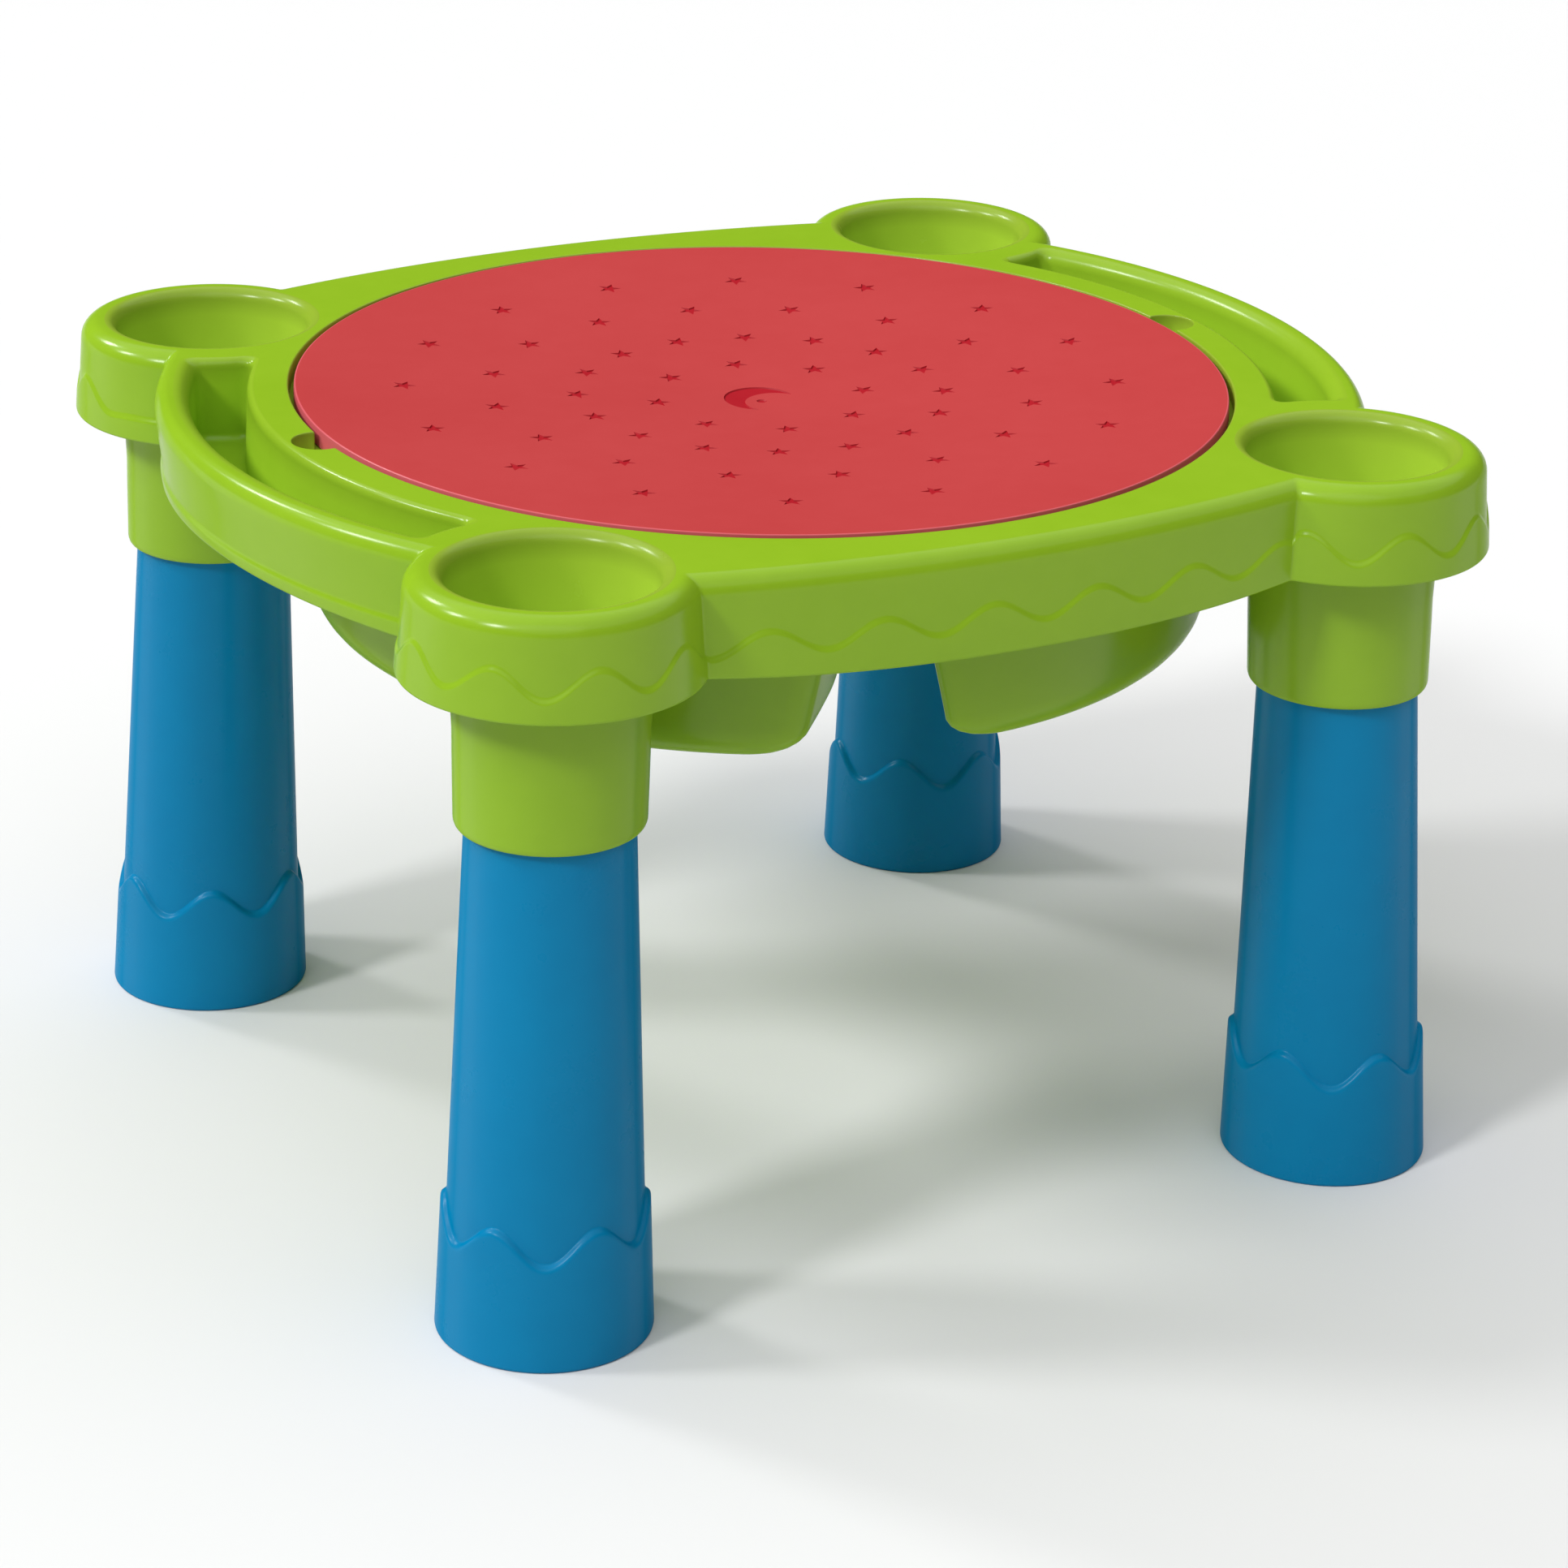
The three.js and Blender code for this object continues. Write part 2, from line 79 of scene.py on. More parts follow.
# ------------------------------------------------------------------ mesh building
class Skin:
    """A closed surface put together from rings of vertices, strips between them and flat regions."""

    def __init__(self):
        self.parts, self.n, self.faces, self.mat = [], 0, [], []

    def add(self, pts):
        pts = np.asarray(pts, float).reshape(-1, 3)
        ids = np.arange(self.n, self.n + len(pts))
        self.parts.append(pts)
        self.n += len(pts)
        return ids

    def ring(self, xy, z):
        xy = np.asarray(xy, float)
        return self.add(np.column_stack([xy, np.broadcast_to(z, len(xy))]))

    def strip(self, a, b, mat=0):
        for i in range(len(a)):
            j = (i + 1) % len(a)
            self.faces.append((int(a[i]), int(a[j]), int(b[j]), int(b[i])))
            self.mat.append(mat)

    def stack(self, rings, mat=0):
        for a, b in zip(rings, rings[1:]):
            self.strip(a, b, mat)

    def cap(self, ring, centre, mat=0):
        c = int(self.add([centre])[0])
        for i in range(len(ring)):
            self.faces.append((int(ring[i]), int(ring[(i + 1) % len(ring)]), c))
            self.mat.append(mat)

    def region(self, loops, z, spacing=18.0, extra=None, height=None, mat=0, inner=(), inner_mat=1):
        """A region in plan, bounded by loops of vertex ids (the outer one and its holes), filled with
        triangles. extra: loose points inside. inner: further loops kept as edges, whose inside gets
        inner_mat."""
        allv = np.vstack(self.parts)
        ids = np.concatenate(list(loops) + list(inner))
        pts = allv[ids][:, :2]
        edges, start = [], 0
        for lp in list(loops) + list(inner):
            k = len(lp)
            edges += [(start + i, start + (i + 1) % k) for i in range(k)]
            start += k
        bound = [allv[lp][:, :2] for lp in loops]
        if extra is None:
            lo, hi = bound[0].min(0), bound[0].max(0)
            gx, gy = np.meshgrid(
                np.arange(lo[0] + spacing / 2, hi[0], spacing),
                np.arange(lo[1] + spacing / 2, hi[1], spacing),
            )
            extra = np.column_stack([gx.ravel(), gy.ravel()])
        if len(extra):
            keep = inside(extra, bound)
            extra = extra[keep]
            near = np.array([np.hypot(*(pts - e).T).min() for e in extra]) if len(extra) else np.zeros(0)
            extra = extra[near > (0.35 * spacing)]
        k0 = len(pts)
        allp = np.vstack([pts, extra]) if len(extra) else pts
        if len(extra):
            zz = height(extra) if height is not None else np.full(len(extra), z)
            eid = self.add(np.column_stack([extra, zz]))
            ids = np.concatenate([ids, eid])
        out = delaunay_2d_cdt([Vector(p) for p in allp], edges, [], 0, 1e-7, True)
        overts, _, ofaces, orig = out[0], out[1], out[2], out[3]
        back = []
        for i, o in enumerate(orig):
            if len(o):
                back.append(int(ids[o[0]]))
            else:
                raise RuntimeError("plan loops cross")
        tri = np.array([f for f in ofaces if len(f) == 3], int)
        co = np.array([(v[0], v[1]) for v in overts])
        cen = co[tri].mean(1)
        keep = inside(cen, bound)
        marks = np.zeros(len(tri), bool)
        for lp in inner:
            marks |= inside(cen, [allv[lp][:, :2]])
        for t, k, m in zip(tri, keep, marks):
            if k:
                self.faces.append(tuple(back[i] for i in t))
                self.mat.append(inner_mat if m else mat)

    def mesh(self, name, materials, sharp=38.0):
        v = np.vstack(self.parts)
        v = (v + np.array([0, 0, DECK_Z])) / 1000.0
        me = bpy.data.meshes.new(name)
        me.from_pydata(v.tolist(), [], self.faces)
        for m in materials:
            me.materials.append(m)
        me.polygons.foreach_set("material_index", self.mat)
        me.update()
        import bmesh

        bm = bmesh.new()
        bm.from_mesh(me)
        loose = [x for x in bm.verts if not x.link_faces]
        bmesh.ops.delete(bm, geom=loose, context="VERTS")
        bmesh.ops.recalc_face_normals(bm, faces=bm.faces)
        open_edges = sum(1 for e in bm.edges if len(e.link_faces) != 2)
        vol = bm.calc_volume(signed=True)
        if vol < 0:
            bmesh.ops.reverse_faces(bm, faces=bm.faces)
        bm.to_mesh(me)
        bm.free()
        print("mesh", name, len(me.polygons), "faces, open edges", open_edges, "volume", round(abs(vol) * 1e6, 1), "cm3")
        me.shade_smooth()
        me.set_sharp_from_angle(angle=math.radians(sharp))
        ob = bpy.data.objects.new(name, me)
        scene.collection.objects.link(ob)
        w = ob.modifiers.new("weighted", "WEIGHTED_NORMAL")
        w.keep_sharp = True
        w.weight = 60
        w.mode = "FACE_AREA"
        return ob


def inside(p, loops):
    """Even-odd test of points against closed polylines."""
    odd = np.zeros(len(p), bool)
    for lp in loops:
        a, b = lp, np.roll(lp, -1, 0)
        for i in range(0, len(p), 4000):
            q = p[i : i + 4000]
            y = q[:, 1][:, None]
            cross = (a[:, 1] > y) != (b[:, 1] > y)
            with np.errstate(divide="ignore", invalid="ignore"):
                x = a[:, 0] + (y - a[:, 1]) * (b[:, 0] - a[:, 0]) / (b[:, 1] - a[:, 1])
            odd[i : i + 4000] ^= (np.sum(cross & (q[:, 0][:, None] < x), 1) % 2).astype(bool)
    return odd


def circle(r, n, c=(0, 0), a0=0.0):
    a = a0 + np.arange(n) * TAU / n
    return np.column_stack([c[0] + r * np.cos(a), c[1] + r * np.sin(a)])


def arc(c, r, a0, a1, n, t0=0.0, t1=0.0):
    s = 1 if a1 > a0 else -1
    a = np.linspace(a0 + s * t0 / r, a1 - s * t1 / r, n)
    return np.column_stack([c[0] + r * np.cos(a), c[1] + r * np.sin(a)])


def meet(a, ar, b, br, side):
    a, b = np.array(a, float), np.array(b, float)
    d = np.hypot(*(b - a))
    t = (ar * ar - br * br + d * d) / (2 * d)
    h = math.sqrt(ar * ar - t * t) * side
    u = (b - a) / d
    return a + u * t + np.array([-u[1], u[0]]) * h


def bezier(p, c, q, k):
    u = (np.arange(1, k + 1) / (k + 1))[:, None]
    return (1 - u) ** 2 * p + 2 * u * (1 - u) * c + u**2 * q


def fillet(r0, z0, r1, z1, n, start="flat"):
    """Quarter ellipse in profile from (r0, z0) to (r1, z1). start: 'flat' leaves level, 'wall' leaves upright."""
    out = []
    for i in range(n + 1):
        t = math.pi / 2 * i / n
        if start == "flat":
            out.append((r0 + (r1 - r0) * math.sin(t), z0 + (z1 - z0) * (1 - math.cos(t))))
        else:
            out.append((r0 + (r1 - r0) * (1 - math.cos(t)), z0 + (z1 - z0) * math.sin(t)))
    return out


# ------------------------------------------------------------------ plan curves of the table top
FC = 534.0  # distance of the plain sides' arc centres from the middle
NS, NC, NF, NB = 112, 112, 104, 3


def outline(rs, rc, rf, trim=2.2):
    """Outline of the deck, anticlockwise from the front end of the +X side: trough sides, corners, plain sides."""
    s = meet((0, 0), rs, (CX, CY), rc, -1)
    f = meet((CX, CY), rc, (0, -FC), rf, -1)
    sa = math.atan2(s[1], s[0])
    c0 = math.atan2(s[1] - CY, s[0] - CX)
    c1 = math.atan2(f[1] - CY, f[0] - CX)
    if c1 < c0:
        c1 += TAU
    fa = math.atan2(f[1] + FC, f[0])
    pi = math.pi
    pieces = [
        arc((0, 0), rs, -sa, sa, NS, trim, trim),
        arc((CX, CY), rc, c0, c1, NC, trim, trim),
        arc((0, -FC), rf, fa, pi - fa, NF, trim, trim),
        arc((-CX, CY), rc, pi - c1, pi - c0, NC, trim, trim),
        arc((0, 0), rs, pi - sa, pi + sa, NS, trim, trim),
        arc((-CX, -CY), rc, pi + c0, pi + c1, NC, trim, trim),
        arc((0, FC), rf, -pi + fa, -fa, NF, trim, trim),
        arc((CX, -CY), rc, -c1, -c0, NC, trim, trim),
    ]
    creases = [(s[0], s[1]), (f[0], f[1]), (-f[0], f[1]), (-s[0], s[1]), (-s[0], -s[1]), (-f[0], -f[1]), (f[0], -f[1]), (s[0], -s[1])]
    out = []
    for i, p in enumerate(pieces):
        out.append(p)
        out.append(bezier(p[-1], np.array(creases[i]), pieces[(i + 1) % 8][0], NB))
    return np.vstack(out)


def smooth01(t):
    t = np.clip(t, 0, 1)
    return t * t * (3 - 2 * t)


def column_heights(pts):
    """Upper edge of the raised band and lower edge of the apron, for every point of the outline."""
    counts = [NS, NC, NF, NC, NS, NC, NF, NC]
    wave, low = [], []
    start = 0
    values = []
    for i, k in enumerate(counts):
        p = pts[start : start + k]
        start += k + NB
        if i in (0, 4):  # trough sides: a plain line, arched like the edge
            q = (p[:, 1] / 188.0) ** 2
            w, b = -42.5 - 3.0 * q, -50.0 - 6.0 * q
        elif i in (2, 6):  # plain sides
            x = p[:, 0] if i == 6 else -p[:, 0]
            w = -38.8 + 6.6 * np.cos(TAU * (x + 20) / 65.5)
            b = -61.0 + 5.0 * np.clip(np.abs(x) / 183.0, 0, 1) ** 3
        else:
            c = {1: (CX, CY), 3: (-CX, CY), 5: (-CX, -CY), 7: (CX, -CY)}[i]
            a = np.degrees(np.arctan2(p[:, 1] - c[1], p[:, 0] - c[0])) % 360
            # crest nearest the trough side, direction of travel away from it
            crest, way = {5: (183.3, 1), 1: (3.3, 1), 7: (341, -1), 3: (178.5, -1)}[i]
            u = ((a - crest) * way + 180) % 360 - 180
            w = -35.2 + 7.8 * np.cos(TAU * u / 40.0)
            w = np.where(u < -20.0, -43.0 + 1.0 * smooth01((-u - 20.0) / 10), w)
            b = np.full(len(p), -56.0)
        values.append((w, b))
    for i in range(8):
        w, b = values[i]
        wn, bn = values[(i + 1) % 8]
        u = np.arange(1, NB + 1) / (NB + 1)
        wave += [w, w[-1] + (wn[0] - w[-1]) * u]
        low += [b, b[-1] + (bn[0] - b[-1]) * u]
    return np.concatenate(wave), np.concatenate(low)


def resample(p, n):
    s = np.concatenate([[0], np.cumsum(np.hypot(*np.diff(p, axis=0).T))])
    u = np.linspace(0, s[-1], n)
    return np.column_stack([np.interp(u, s, p[:, 0]), np.interp(u, s, p[:, 1])])


def trimmed(p, t0, t1):
    s = np.concatenate([[0], np.cumsum(np.hypot(*np.diff(p, axis=0).T))])
    u = np.linspace(t0, s[-1] - t1, 400)
    return np.column_stack([np.interp(u, s, p[:, 0]), np.interp(u, s, p[:, 1])])


def trough_loop(sign, di, do, de, t):
    """Plan of the trough at one level: inner wall, outer wall and ends moved out by di, do and de from
    their wall lines, corners cut back by t. The sharper corners beside the recess get a little more."""
    ri, ro, re = 302.0 - di, 338.5 + do, 86.0 - de
    i1 = meet((0, 0), ri, (CX, CY), re, -1)
    o1 = meet((0, 0), ro, (CX, CY), re, -1)
    ai, ao = math.atan2(i1[1], i1[0]), math.atan2(o1[1], o1[0])
    ei = math.atan2(i1[1] - CY, i1[0] - CX)
    eo = math.atan2(o1[1] - CY, o1[0] - CX)
    pieces = [
        arc((0, 0), ro, -ao, ao, 300),
        arc((CX, CY), re, eo, ei, 120),
        arc((0, 0), ri, ai, -ai, 300),
        arc((CX, -CY), re, -ei, -eo, 120),
    ]
    cuts = [(t, t), (t, t * 1.6), (t * 1.6, t * 1.6), (t * 1.6, t)]
    rows = [resample(trimmed(p, c[0], c[1]), n) for p, c, n in zip(pieces, cuts, (120, 16, 108, 16))]
    out = []
    for i, q in enumerate(rows):
        out.append(q)
        out.append(bezier(q[-1], pieces[i][-1], rows[(i + 1) % 4][0], 7))
    return np.vstack(out) * sign


S_SLOPE, S_SWING, S_SPAN = 0.226, 49.0, 500.0  # the divider's S curve
BASIN_R, BASIN_HALF, BASIN_DRAFT = 263.5, 36.9, 0.193  # outer radius and divider half width at the foot
BASIN_FLOOR, BASIN_EDGE, BASIN_FOOT, BASIN_CUT = -134.4, 18.1, 28.7, (18.3, 12.9)


def divider_x(y):
    return S_SLOPE * y - S_SWING * np.sin(TAU * y / S_SPAN)


def basin_loop(sign, r, w, t):
    """Plan of a basin at one level: outer wall of radius r, the divider's side w from its middle line,
    corners rounded a little more by t."""
    y = np.linspace(-300, 300, 2401)
    g = S_SLOPE - S_SWING * TAU / S_SPAN * np.cos(TAU * y / S_SPAN)
    n = np.hypot(1, g)
    edge = np.column_stack([divider_x(y) + w / n, y - w * g / n])
    edge = edge[np.hypot(edge[:, 0], edge[:, 1]) < r]
    a0, a1 = math.atan2(edge[0, 1], edge[0, 0]), math.atan2(edge[-1, 1], edge[-1, 0])
    pieces = [arc((0, 0), r, a0, a1, 600), edge[::-1]]
    pieces[1][0], pieces[1][-1] = pieces[0][-1], pieces[0][0]
    cuts = [(BASIN_CUT[0] + t, BASIN_CUT[1] + t), (BASIN_CUT[1] + t, BASIN_CUT[0] + t)]
    rows = [resample(trimmed(p, c[0], c[1]), n) for p, c, n in zip(pieces, cuts, (112, 92))]
    out = []
    for i, q in enumerate(rows):
        out.append(q)
        out.append(bezier(q[-1], pieces[i][-1], rows[1 - i][0], 11))
    return np.vstack(out) * sign


def basin_levels(skin):
    """Rings of a basin from its floor up: radius, divider half width, height, extra rounding. skin:
    wall thickness added outside."""
    out = []
    floor = BASIN_FLOOR - skin
    for i in range(9):
        q = math.pi / 2 * i / 8
        k = 1 - math.sin(q)
        out.append((BASIN_R + skin - (BASIN_EDGE + skin) * k, BASIN_HALF - skin + (BASIN_FOOT + skin) * k,
                    floor + (BASIN_EDGE + skin) * (1 - math.cos(q)), skin))
    z0 = BASIN_FLOOR + BASIN_EDGE
    for z in (-104, -86, -68, -50, -34, -25):
        out.append((BASIN_R + skin + (z - z0) * 0.02, BASIN_HALF - skin - (z - z0) * BASIN_DRAFT, z, skin))
    return out


def recess_loop(r, rn, trim=1.2):
    """Circle with the two finger notches let into it."""
    xc = 281.2
    p = meet((0, 0), r, (xc, 0), rn, 1)  # upper meeting point
    a = math.atan2(p[1], p[0])
    b = math.atan2(p[1], p[0] - xc)
    big = arc((0, 0), r, a, math.pi - a, 160, trim, trim)
    left = arc((-xc, 0), rn, math.pi - b, math.pi + b, 26, trim, trim)
    low = arc((0, 0), r, math.pi + a, TAU - a, 160, trim, trim)
    right = arc((xc, 0), rn, -b, b, 26, trim, trim)
    out = [
        big, bezier(big[-1], np.array([-p[0], p[1]]), left[0], 3),
        left, bezier(left[-1], np.array([-p[0], -p[1]]), low[0], 3),
        low, bezier(low[-1], np.array([p[0], -p[1]]), right[0], 3),
        right, bezier(right[-1], np.array([p[0], p[1]]), big[0], 3),
    ]
    return np.vstack(out)


def lean_xy(xy, z, a, b):
    k = max(0.0, (LEAN_Z - z) / (DECK_Z + LEAN_Z))
    return np.asarray(xy) + np.array([a * FOOT_DX * k, b * FOOT_DY * k])


# ------------------------------------------------------------------ the green top, one closed moulding
def build_top(materials):
    s = Skin()
    # outer edge, apron and the inside of the apron
    top = (355.5, 79.3, 846.0)
    bot = (350.5, 82.5, 847.0)
    soft = (8.0, 11.0, 11.0)
    rings = []
    n = 8
    for i in range(n):
        k = 1 - math.sin(math.pi / 2 * i / n)
        z = -11 * (1 - math.cos(math.pi / 2 * i / n))
        rings.append(s.ring(outline(*[t - q * k for t, q in zip(top, soft)]), z))
    deck_loop = rings[0]
    o0, o1 = outline(*top), outline(*bot)
    dn = outline(*[t + 1 for t in top]) - o0
    wave, low = column_heights(o0)

    def column(z, b):
        t = ((-11 - z) / 46.0)[:, None]
        return np.column_stack([o0 + (o1 - o0) * t + dn * b, z])

    one = np.ones(len(o0))
    rings.append(s.add(column(-11 * one, 0)))
    up0 = wave + 2.6
    for u in (0.3, 0.65):
        rings.append(s.add(column(-11 + (up0 + 11) * u, 0)))
    for dz, b in ((2.6, 0.0), (1.6, 0.12), (0.7, 0.45), (-0.3, 0.98), (-1.2, 1.35), (-2.2, 1.5)):
        rings.append(s.add(column(wave + dz, b)))
    lo0, lo1 = wave - 2.2, low + 1.8
    for u in (0.5, 1.0):
        rings.append(s.add(column(lo0 + (lo1 - lo0) * u, 1.5)))
    for dz, b in ((0.9, 1.3), (0.25, 0.85), (0.0, 0.2), (0.0, -1.6), (0.25, -2.3), (1.0, -2.9)):
        rings.append(s.add(column(low + dz, b)))
    for u in (0.5, 1.0):
        rings.append(s.add(column(low + 1.0 + (-9.0 - low - 1.0) * u, -3.0)))
    for i in range(1, 4):
        q = math.pi / 2 * i / 3
        d, z = -3 - 5 * (1 - math.cos(q)), -9 + 6 * math.sin(q)
        rings.append(s.ring(outline(*[t + d for t in top]), z))
    s.stack(rings)
    under_loop = rings[-1]

    holes_top, holes_under = [], []
    # cups and leg sockets
    m = 96
    for a in (-1, 1):
        for b in (-1, 1):
            c = (a * CX, b * CY)
            prof = fillet(65.0, 0, 57.7, -7.5, 8)
            prof += [(57.7 - (-7.5 - z) * 0.106, z) for z in (-22, -40, -58, -72)]
            prof += [(p[0], p[1]) for p in fillet(49.97, -80, 42, -88, 6, "wall")]
            prof += [(24, -88), (10, -88)]
            rg = [s.ring(circle(r, m, c), z) for r, z in prof]
            # the cup's inside takes slot 1, the lit copy of the green: painted light
            s.stack(rg, 1)
            s.cap(rg[-1], (c[0], c[1], -88), 1)
            holes_top.append(rg[0])
            prof = fillet(62.8, -3, 61.0, -5.5, 3)
            prof += [(58.3, -31), (55.3, -57), (54.3, -72), (53.3, -88), (53.1, -104), (52.8, -121), (52.5, -137)]
            prof += fillet(52.5, -138, 48.9 + 1.6, -142, 4, "wall")
            prof += [(49.4, -142), (48.9, -141.4), (48.1, -118), (47.3, -94), (45.2, -91), (22, -91)]
            rg = [s.ring(lean_xy(circle(r, m, c), z, a, b), z) for r, z in prof]
            s.stack(rg)
            k = lean_xy([c], -91, a, b)[0]
            s.cap(rg[-1], (k[0], k[1], -91))
            holes_under.append(rg[0])
    # troughs
    for sign in (1, -1):
        lv = []
        for i in range(7):
            q = math.pi / 2 * i / 6
            d = -6.5 + 5 * math.sin(q)
            lv.append((d, d - 3, d, -50 + 5 * (1 - math.cos(q)), 3.0 + 3.0 * math.sin(q)))
        lv += [(-1.1, -4.1, -1.1, -32, 6.3), (-0.5, -3.5, -0.5, -18, 6.6), (-0.2, -3.1, -0.2, -9.5, 6.8)]
        for i in range(1, 9):
            q = math.pi / 2 * i / 8
            k, h = 1 - math.cos(q), -9.5 + 9.5 * math.sin(q)
            small = max(0.0, 1 - math.sqrt(max(0.0, 1 - max(0.0, 1 + h / 5) ** 2)))
            lv.append((3.9 * small, -3.1 + 9.2 * k, 5.0 * small, h, 6.8 + 3.0 * k))
        rg = [s.ring(trough_loop(sign, di, do, de, t), z) for di, do, de, z, t in lv]
        # the trough's floor and walls take slot 2, the lit copy of the green: painted light
        s.region([rg[0]], -50, 14, mat=2)
        s.stack(rg, 2)
        holes_top.append(rg[-1])
        lv = []
        for i in range(7):
            q = math.pi / 2 * i / 6
            lv.append((-6.5 + 8 * math.sin(q), -53 + 8 * (1 - math.cos(q)), 3.5 + 5.5 * math.sin(q)))
        lv += [(2.7, -5, 9.0), (3.4, -3, 9.5)]
        rg = [s.ring(trough_loop(sign, d, d, d, t), z) for d, z, t in lv]
        s.region([rg[0]], -53, 14)
        s.stack(rg)
        holes_under.append(rg[-1])
    # recess for the cover, its ledge, the divider and the basins
    rg = []
    for r, rn, z in ((279.1, 16.15, 0), (278.6, 15.85, -0.12), (278.25, 15.65, -0.4), (278.05, 15.5, -0.85), (278.0, 15.45, -1.6), (278.0, 15.35, -6.5), (278.0, 15.15, -11)):
        rg.append(s.ring(recess_loop(r, rn), z))
    # the recess walls and ledge take slot 1, the lit copy of the green: painted light
    s.stack(rg, 1)
    holes_top.append(rg[0])
    nl = 240
    edge = [s.ring(circle(r, nl), z) for r, z in ((272.6, -11), (271.9, -11.3), (271.6, -12), (271.4, -18), (271.1, -18.8), (270.7, -19))]
    s.stack(edge)
    s.region([rg[-1], edge[0]], -11, 12, mat=1)
    mouths = []
    for sign in (1, -1):
        lv = basin_levels(0.0)
        r, w, _, t = lv[-1]
        lv += [(r + 0.2, w - 0.2, -21.5, t), (r + 0.45, w - 0.45, -20.2, t), (r + 1.0, w - 1.1, -19.3, t + 1), (r + 1.8, w - 2.1, -19, t + 2)]
        b = [s.ring(basin_loop(sign, q[0], q[1], q[3]), q[2]) for q in lv]
        s.region([b[0]], lv[0][2], 16)
        s.stack(b)
        mouths.append(b[-1])
    s.region([edge[-1]] + mouths, -19, 12)
    s.region([deck_loop] + holes_top, 0, 16)
    # underside of the recess, the divider and the basins
    rg = []
    for r, rn, z in ((283.2, 16.65, -3), (282.4, 16.35, -4.4), (282.0, 16.25, -6), (282.0, 16.25, -12.5), (281.2, 15.85, -14)):
        rg.append(s.ring(recess_loop(r, rn), z))
    s.stack(rg)
    holes_under.append(rg[0])
    edge = [s.ring(circle(r, nl), z) for r, z in ((275.6, -14), (274.5, -15), (274.5, -20.5), (273.8, -22))]
    s.stack(edge)
    s.region([rg[-1], edge[0]], -14, 12)
    mouths = []
    for sign in (1, -1):
        lv = basin_levels(3.0)
        r, w, _, t = lv[-1]
        lv += [(r + 0.6, w - 0.8, -22, t + 1)]
        b = [s.ring(basin_loop(sign, q[0], q[1], q[3]), q[2]) for q in lv]
        s.region([b[0]], lv[0][2], 16)
        s.stack(b)
        mouths.append(b[-1])
    s.region([edge[-1]] + mouths, -22, 14)
    s.region([under_loop] + holes_under, -3, 16)
    return s.mesh("table_top_moulding", materials)


# ------------------------------------------------------------------ the red cover
LID_R = 275.0


def dish(r):
    r = np.minimum(np.asarray(r, float), LID_R)
    return 0.6 - 14.4 * (0.75 * (1 - r / LID_R) + 0.25 * (1 - (r / LID_R) ** 2))


def star(c, ro, ri, a0):
    out = []
    for i in range(10):
        r = ro if i % 2 == 0 else ri
        a = a0 + i * TAU / 10
        out.append((c[0] + r * math.cos(a), c[1] + r * math.sin(a)))
    return np.array(out)


def crescent(grow):
    """Moon: outer arc about (0, 3), inner arc about a point to the lower right, tips rounded."""
    co, ro = np.array([0.0, 3.0]), 21.0 + grow
    ci, ri = np.array([5.5, -6.5]), 17.6 - grow
    p = meet(co, ro, ci, ri, 1)
    q = meet(co, ro, ci, ri, -1)
    ap, aq = math.atan2(*(p - co)[::-1]), math.atan2(*(q - co)[::-1])
    bp, bq = math.atan2(*(p - ci)[::-1]), math.atan2(*(q - ci)[::-1])
    return co, ro, ci, ri, ap, aq, bp, bq


def moon_loop(grow):
    co, ro, ci, ri, ap, aq, bp, bq = crescent(grow)
    # the outer arc runs the long way round through the upper left
    a0, a1 = sorted((ap % TAU, aq % TAU))
    mid = (a0 + a1) / 2
    want = math.radians(130)
    if abs((mid - want + math.pi) % TAU - math.pi) > math.pi / 2:
        a0, a1 = a1, a0 + TAU
    outer = arc(co, ro, a0, a1, 44, 0.4, 0.4)
    e0, e1 = co + ro * np.array([math.cos(a1), math.sin(a1)]), co + ro * np.array([math.cos(a0), math.sin(a0)])
    b0 = math.atan2(*(e0 - ci)[::-1])
    b1 = math.atan2(*(e1 - ci)[::-1])
    while b1 > b0:
        b1 -= TAU
    inner = arc(ci, ri, b0, b1, 40, 0.4, 0.4)
    return np.vstack([outer, inner])


